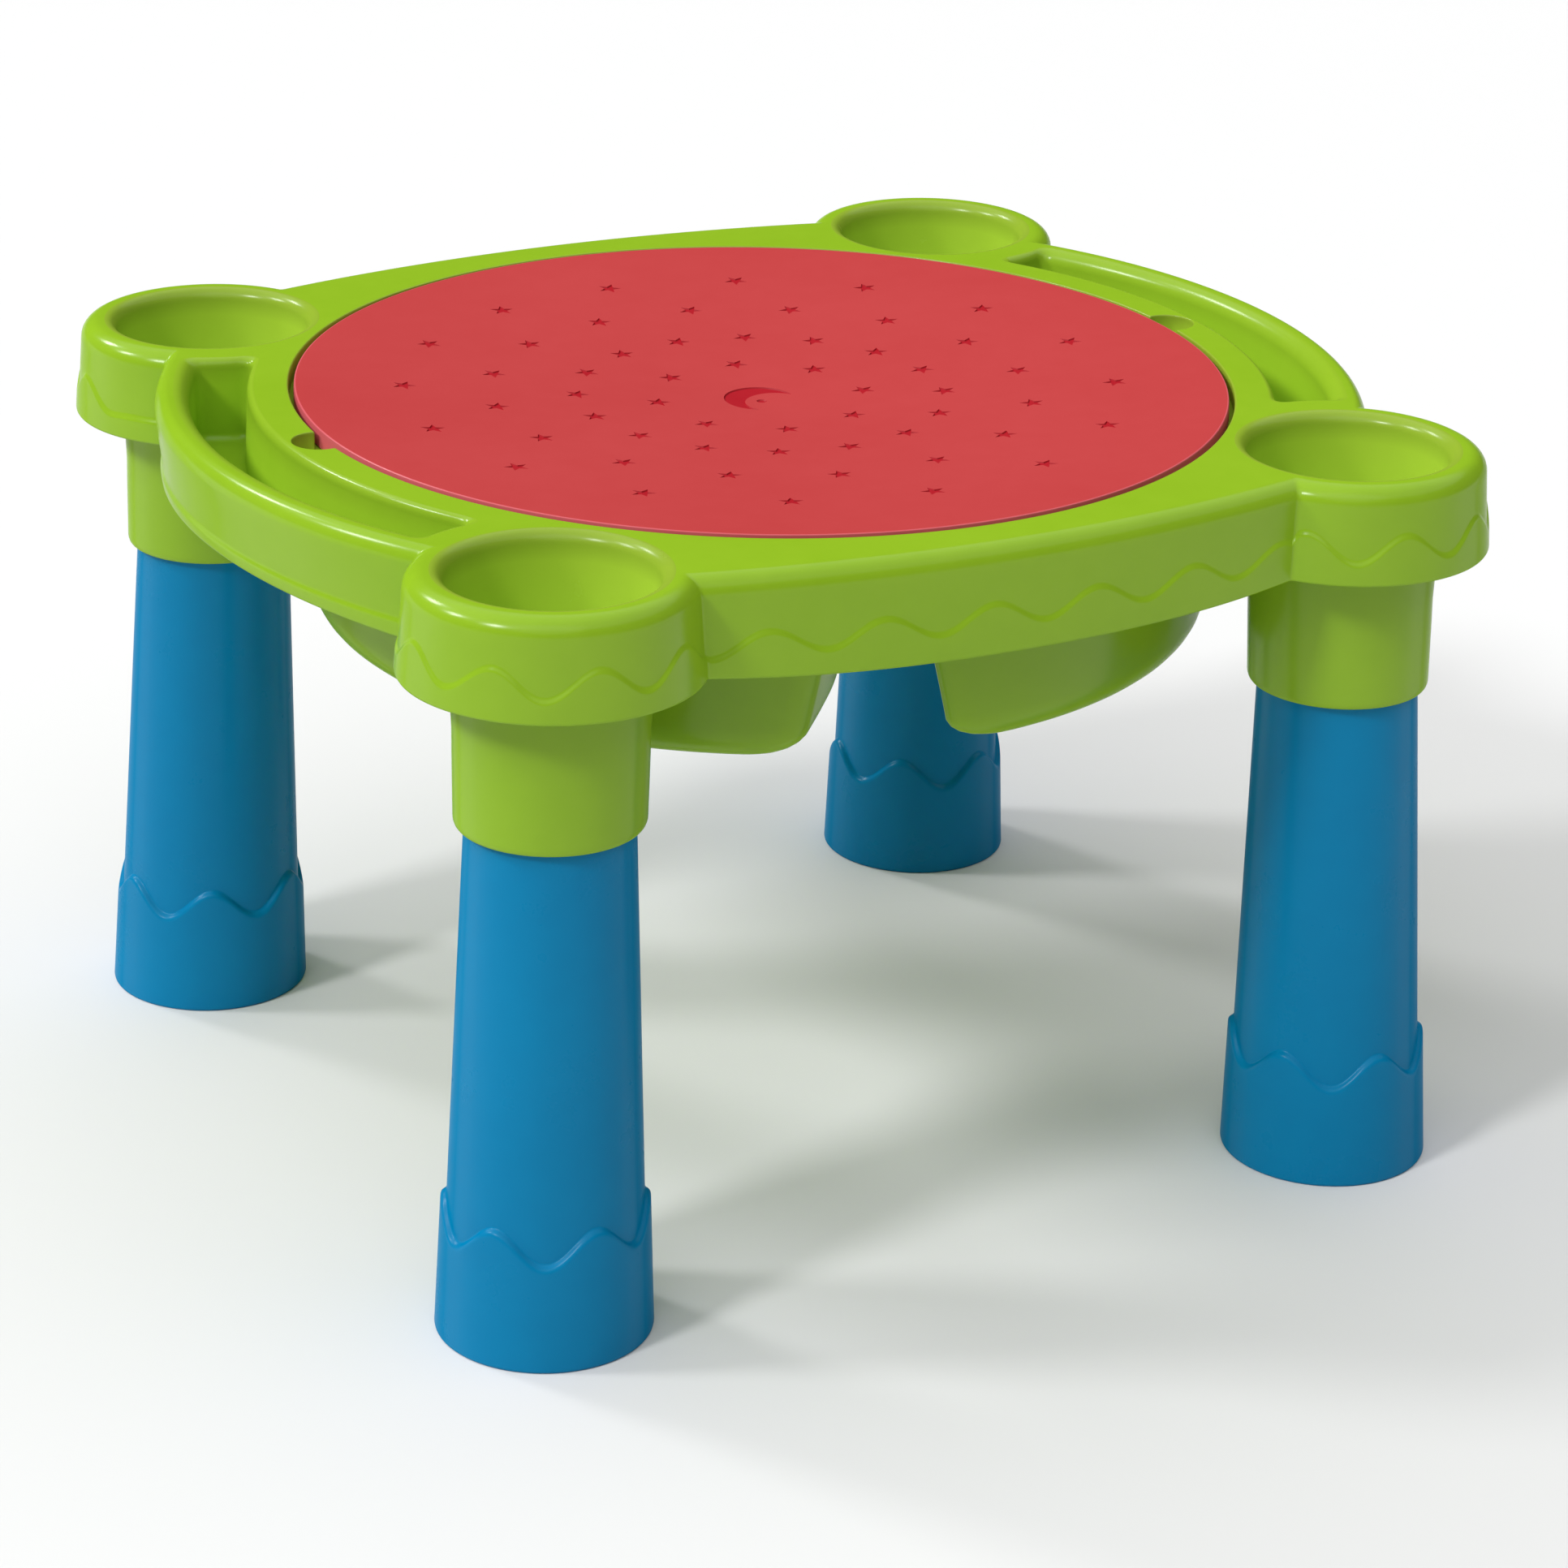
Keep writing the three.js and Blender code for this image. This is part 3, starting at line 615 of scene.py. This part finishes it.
def build_lid(materials):
    s = Skin()
    n = 240
    edge = [(273.7, float(dish(273.7))), (274.2, 0.44), (274.55, 0.16), (274.7, -0.3)]
    skirt = [(274.8, -1.6), (274.9, -4.6), (275.0, -6.6), (275.0, -9.9), (274.7, -10.4), (274.2, -10.7),
             (272.9, -10.7), (272.4, -10.3), (271.6, -6.2), (270.0, -3.8), (267.0, float(dish(267.0)) - 2.5)]
    rg = [s.ring(circle(r, n), z) for r, z in edge + skirt]
    # the rounded rim and the skirt take slot 2, the paler red: a painted highlight
    s.stack(rg[:10], 2)
    s.stack(rg[9:])
    marks, walls = [], []
    deep = 0.75
    for count, rad, phase in ((8, 62.5, 32.0), (16, 109, 0.5), (16, 160, 11.2), (16, 210.5, -0.4)):
        for i in range(count):
            a = math.radians(phase + 360.0 * i / count)
            c = (0.5 + rad * math.cos(a), 1.6 + rad * math.sin(a))
            o = star(c, 7.6, 3.1, a + math.pi)
            walls.append((o, star(c, 6.75, 2.65, a + math.pi)))
    walls.append((moon_loop(0.0), moon_loop(-0.45)))
    gate = circle(3.0, 20)
    walls.append((gate, circle(2.3, 20)))
    upper = []
    for o, i in walls:
        zo = dish(np.hypot(o[:, 0], o[:, 1]))
        zi = dish(np.hypot(i[:, 0], i[:, 1])) - deep
        a, b = s.ring(o, zo), s.ring(i, zi)
        # the walls of each mark take slot 1, the darker red: painted shade
        s.strip(a, b, 1)
        upper.append(a)
        marks.append(b)
    # loose points on rings, for the dished shape
    pts = [(0.0, 0.0)]
    for r in np.arange(8, 272, 8.5):
        k = max(8, int(round(TAU * r / 9)))
        pts += [(r * math.cos(TAU * (j + 0.5 * (int(r) % 2)) / k), r * math.sin(TAU * (j + 0.5 * (int(r) % 2)) / k)) for j in range(k)]
    pts = np.array(pts)
    h = lambda p: dish(np.hypot(p[:, 0], p[:, 1]))
    s.region([rg[0]] + upper, 0, 8.0, extra=pts, height=h)
    # the floors of the marks take slot 1 too: painted shade
    for b in marks:
        v = np.vstack(s.parts)[b]
        s.region([b], 0, 3.0, extra=np.zeros((0, 2)), height=None, mat=1)
    s.region([rg[-1]], 0, 16.0, extra=pts[::2] if len(pts) else pts, height=lambda p: h(p) - 2.5)
    return s.mesh("lid_cover", materials, 30.0)


# ------------------------------------------------------------------ a blue leg
def build_leg(name, a, b, crest_deg, materials):
    s = Skin()
    n = 144
    th = np.arange(n) * TAU / n
    base = -DECK_Z
    wave = base + 70 + 9.0 * np.cos(6 * (th - math.radians(crest_deg)))

    def tube(z):
        return 46.6 + (54.8 - 46.6) * (-142.0 - z) / (-142.0 - (base + 79))

    def band(z):
        return 61.3 - (61.3 - 58.1) * (z - base) / 79.0

    def ring(r, z):
        r = np.broadcast_to(r, n)
        z = np.broadcast_to(z, n)
        k = np.maximum(0.0, (LEAN_Z - z) / (DECK_Z + LEAN_Z))
        return s.add(np.column_stack([a * CX + a * FOOT_DX * k + r * np.cos(th), b * CY + b * FOOT_DY * k + r * np.sin(th), z]))

    rg = [ring(r, z) for r, z in [(12, -91.5), (30, -91.5)] + fillet(43.2, -91.5, 44.9, -93.5, 3)]
    rg += [ring(45.3, -104), ring(46.0, -124), ring(46.6, -142)]
    up = wave + 3.2
    for u in (0.1, 0.22, 0.36, 0.5, 0.64, 0.78, 0.9):
        z = -142 + (up + 142) * u
        rg.append(ring(tube(z), z))
    for dz, w in ((3.2, 0.0), (2.5, 0.05), (1.9, 0.2), (1.3, 0.45), (0.6, 0.7), (-0.3, 0.88), (-1.5, 0.98), (-2.8, 1.0)):
        z = wave + dz
        rg.append(ring(tube(z) + (band(z) - tube(z)) * w, z))
    lo = wave - 2.8
    for u in (0.3, 0.6, 0.9):
        z = lo + (base + 2.2 - lo) * u
        rg.append(ring(band(z), z))
    rg += [ring(61.25, base + 2.0), ring(61.0, base + 0.9), ring(60.4, base + 0.25), ring(59.6, base), ring(55.2, base), ring(54.6, base + 0.5)]
    rg += [ring(54.4, base + 30), ring(54.0, base + 56), ring(51.6, base + 76), ring(47.5, -220), ring(43.5, -142), ring(41.8, -96), ring(40.6, -94.6), ring(20, -94.5)]
    s.stack(rg)
    k = (LEAN_Z + 91.5) / (DECK_Z + LEAN_Z)
    s.cap(rg[0], (a * (CX + FOOT_DX * k), b * (CY + FOOT_DY * k), -91.5))
    s.cap(rg[-1], (a * (CX + FOOT_DX * k), b * (CY + FOOT_DY * k), -94.5))
    return s.mesh(name, materials, 50.0)


# ------------------------------------------------------------------ materials
def srgb(r, g, b):
    f = lambda c: c / 12.92 if c <= 0.04045 else ((c + 0.055) / 1.055) ** 2.4
    return (f(r / 255), f(g / 255), f(b / 255), 1)


def dim(c, k):
    return (c[0] * k, c[1] * k, c[2] * k, 1)


def plastic(name, low, high, rough, gloss=0.5, grain=0.06, scatter=0.0, radius=(1, 1, 1), edge=None):
    """Injection-moulded polypropylene: slow colour drift, fine orange peel, uneven gloss, faint scuffs."""
    m = bpy.data.materials.new(name)
    m.use_nodes = True
    nt = m.node_tree
    nt.nodes.clear()
    N, L = nt.nodes.new, nt.links.new
    out = N("ShaderNodeOutputMaterial")
    bs = N("ShaderNodeBsdfPrincipled")
    L(bs.outputs[0], out.inputs[0])
    tc = N("ShaderNodeTexCoord")
    co = tc.outputs["Object"]
    # slow drift of colour, from the melt flow
    n1 = N("ShaderNodeTexNoise")
    n1.inputs["Scale"].default_value = 7.0
    n1.inputs["Detail"].default_value = 3.0
    n1.inputs["Roughness"].default_value = 0.5
    L(co, n1.inputs["Vector"])
    n2 = N("ShaderNodeTexNoise")
    n2.inputs["Scale"].default_value = 60.0
    n2.inputs["Detail"].default_value = 4.0
    L(co, n2.inputs["Vector"])
    mx = N("ShaderNodeMath")
    mx.operation = "MULTIPLY_ADD"
    L(n2.outputs["Fac"], mx.inputs[0])
    mx.inputs[1].default_value = 0.3
    mul = N("ShaderNodeMath")
    mul.operation = "MULTIPLY"
    L(n1.outputs["Fac"], mul.inputs[0])
    mul.inputs[1].default_value = 0.7
    L(mul.outputs[0], mx.inputs[2])
    ramp = N("ShaderNodeValToRGB")
    ramp.color_ramp.elements[0].position, ramp.color_ramp.elements[0].color = 0.32, low
    ramp.color_ramp.elements[1].position, ramp.color_ramp.elements[1].color = 0.68, high
    L(mx.outputs[0], ramp.inputs[0])
    col = ramp.outputs[0]
    # optional colour step: the lit copies of the green paint light here, a lighter base colour below the rim
    if edge is not None:
        col = edge(nt, co, col)
    L(col, bs.inputs["Base Color"])
    # gloss varies a little, with faint wiped scuffs
    n3 = N("ShaderNodeTexNoise")
    n3.inputs["Scale"].default_value = 22.0
    n3.inputs["Detail"].default_value = 5.0
    n3.inputs["Roughness"].default_value = 0.65
    L(co, n3.inputs["Vector"])
    mr = N("ShaderNodeMapRange")
    mr.inputs[1].default_value, mr.inputs[2].default_value = 0.3, 0.7
    mr.inputs[3].default_value, mr.inputs[4].default_value = rough - 0.02, rough + 0.04
    L(n3.outputs["Fac"], mr.inputs[0])
    L(mr.outputs[0], bs.inputs["Roughness"])
    # moulded grain: fine orange peel, under a tenth of a millimetre
    g1 = N("ShaderNodeTexNoise")
    g1.inputs["Scale"].default_value = 900.0
    g1.inputs["Detail"].default_value = 2.0
    L(co, g1.inputs["Vector"])
    bp = N("ShaderNodeBump")
    bp.inputs["Strength"].default_value = grain
    bp.inputs["Distance"].default_value = 0.0004
    L(g1.outputs["Fac"], bp.inputs["Height"])
    L(bp.outputs[0], bs.inputs["Normal"])
    bs.inputs["IOR"].default_value = 1.49
    # the satin skin shines less at a glancing angle than a polished one
    lw = N("ShaderNodeLayerWeight")
    lw.inputs["Blend"].default_value = 0.5
    sh = N("ShaderNodeMapRange")
    sh.inputs[1].default_value, sh.inputs[2].default_value = 0.45, 0.64
    sh.inputs[3].default_value, sh.inputs[4].default_value = gloss, gloss * 0.06
    L(lw.outputs["Facing"], sh.inputs[0])
    L(sh.outputs[0], bs.inputs["Specular IOR Level"])
    if scatter > 0:
        bs.inputs["Subsurface Weight"].default_value = scatter
        bs.inputs["Subsurface Radius"].default_value = radius
        bs.inputs["Subsurface Scale"].default_value = 0.004
    return m


def painted_light_inside(gain):
    """Painted light: the base colour grows lighter below the rim, standing in for the light that reaches into the
    hollows.
    """

    def build(nt, co, col):
        sep = nt.nodes.new("ShaderNodeSeparateXYZ")
        nt.links.new(co, sep.inputs[0])
        mr = nt.nodes.new("ShaderNodeMapRange")
        mr.inputs[1].default_value, mr.inputs[2].default_value = 0.4395, 0.425
        mr.inputs[3].default_value, mr.inputs[4].default_value = 1.0, gain
        nt.links.new(sep.outputs[2], mr.inputs[0])
        sc = nt.nodes.new("ShaderNodeVectorMath")
        sc.operation = "SCALE"
        nt.links.new(col, sc.inputs[0])
        nt.links.new(mr.outputs[0], sc.inputs["Scale"])
        return sc.outputs[0]

    return build


# Lit copy of the green for the cup insides and the recess: painted light, a lighter base colour that grows lighter
# still below the rim.
green_painted_light_inside = plastic("green_moulded_inside_painted_light", dim(srgb(151, 183, 50), 0.78), dim(srgb(156, 187, 55), 0.78), 0.24, 0.28, 0.02, edge=painted_light_inside(1.5))
# Lit copy of the green for the troughs: painted light, a lighter base colour below the rim.
green_trough_painted_light = plastic("green_moulded_trough_painted_light", dim(srgb(147, 187, 40), 0.81), dim(srgb(153, 191, 45), 0.81), 0.21, 0.27, 0.02, edge=painted_light_inside(1.24))
green = plastic("green_moulded", dim(srgb(145, 188, 34), 0.82), dim(srgb(151, 193, 40), 0.82), 0.2, 0.27, 0.02)
red = plastic("red_moulded", dim(srgb(203, 70, 71), 0.77), dim(srgb(207, 75, 76), 0.77), 0.45, 0.2, 0.02)
# Painted shade: a darker red on the walls and floors of the debossed stars, moon and gate, for the shade in those
# recesses.
red_painted_shade = plastic("red_moulded_recess_painted_shade", dim(srgb(180, 30, 42), 0.79), dim(srgb(188, 36, 47), 0.79), 0.45, 0.18, 0.02)
# Painted highlight: a paler red on the rounded rim and the skirt of the cover, for the light that catches and shines
# through the thin edge.
red_painted_highlight_edge = plastic("red_moulded_edge_painted_highlight", dim(srgb(215, 94, 102), 0.86), dim(srgb(221, 102, 110), 0.86), 0.36, 0.3, 0.02)
blue = plastic("blue_moulded", dim(srgb(0, 143, 198), 0.66), dim(srgb(0, 149, 204), 0.66), 0.28, 0.12, 0.02)

top = build_top([green, green_painted_light_inside, green_trough_painted_light])
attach(top, "table_top")
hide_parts(*frame["record"]["behaviour"]["bodies"]["table_top"])

lid = build_lid([red, red_painted_shade, red_painted_highlight_edge])
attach(lid, "lid")
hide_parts("lid")

for where, a, b, crest in (("front_left", -1, -1, 35.0), ("front_right", 1, -1, 30.0), ("back_left", -1, 1, 9.4), ("back_right", 1, 1, 51.0)):
    leg = build_leg("blue_leg_" + where, a, b, crest, [blue])
    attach(leg, "leg_" + where)
    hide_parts("leg_" + where)


# ------------------------------------------------------------------ floor and lights
def make_floor():
    me = bpy.data.meshes.new("floor")
    h = 60.0
    me.from_pydata([(-h, -h, 0), (h, -h, 0), (h, h, 0), (-h, h, 0)], [], [(0, 1, 2, 3)])
    m = bpy.data.materials.new("floor_paper")
    m.use_nodes = True
    bs = m.node_tree.nodes["Principled BSDF"]
    bs.inputs["Base Color"].default_value = (0.76, 0.76, 0.76, 1)
    bs.inputs["Roughness"].default_value = 0.9
    me.materials.append(m)
    ob = bpy.data.objects.new("floor", me)
    scene.collection.objects.link(ob)


make_floor()


def softbox(name, az, el, spread, power):
    """A broad even light from far away, az and el in degrees about the table."""
    li = bpy.data.lights.new(name, "SUN")
    li.energy, li.angle = power, math.radians(spread)
    ob = bpy.data.objects.new(name, li)
    a, e = math.radians(az), math.radians(el)
    d = Vector((math.cos(a) * math.cos(e), math.sin(a) * math.cos(e), math.sin(e)))
    ob.rotation_euler = (-d).to_track_quat("-Z", "Y").to_euler()
    ob.location = d * 4
    scene.collection.objects.link(ob)


softbox("left_back", 116, 36, 10, 0.7)
softbox("left", 152, 38, 10, 0.95)
softbox("left_front", 194, 40, 10, 1.25)
softbox("camera_side", 238, 45, 50, 0.45)
softbox("top", 60, 86, 110, 1.9)

w = bpy.data.worlds.new("studio")
w.use_nodes = True
wt = w.node_tree
fill = wt.nodes["Background"]
fill.inputs[0].default_value = (1, 1, 1, 1)
fill.inputs[1].default_value = 0.05
paper = wt.nodes.new("ShaderNodeBackground")
paper.inputs[0].default_value = (1, 1, 1, 1)
paper.inputs[1].default_value = 1.0
seen = wt.nodes.new("ShaderNodeLightPath")
mix = wt.nodes.new("ShaderNodeMixShader")
wt.links.new(seen.outputs["Is Camera Ray"], mix.inputs[0])
wt.links.new(fill.outputs[0], mix.inputs[1])
wt.links.new(paper.outputs[0], mix.inputs[2])
wt.links.new(mix.outputs[0], wt.nodes["World Output"].inputs[0])
scene.world = w
scene.view_settings.view_transform = "Standard"
scene.view_settings.look = "None"

bpy.context.view_layer.update()
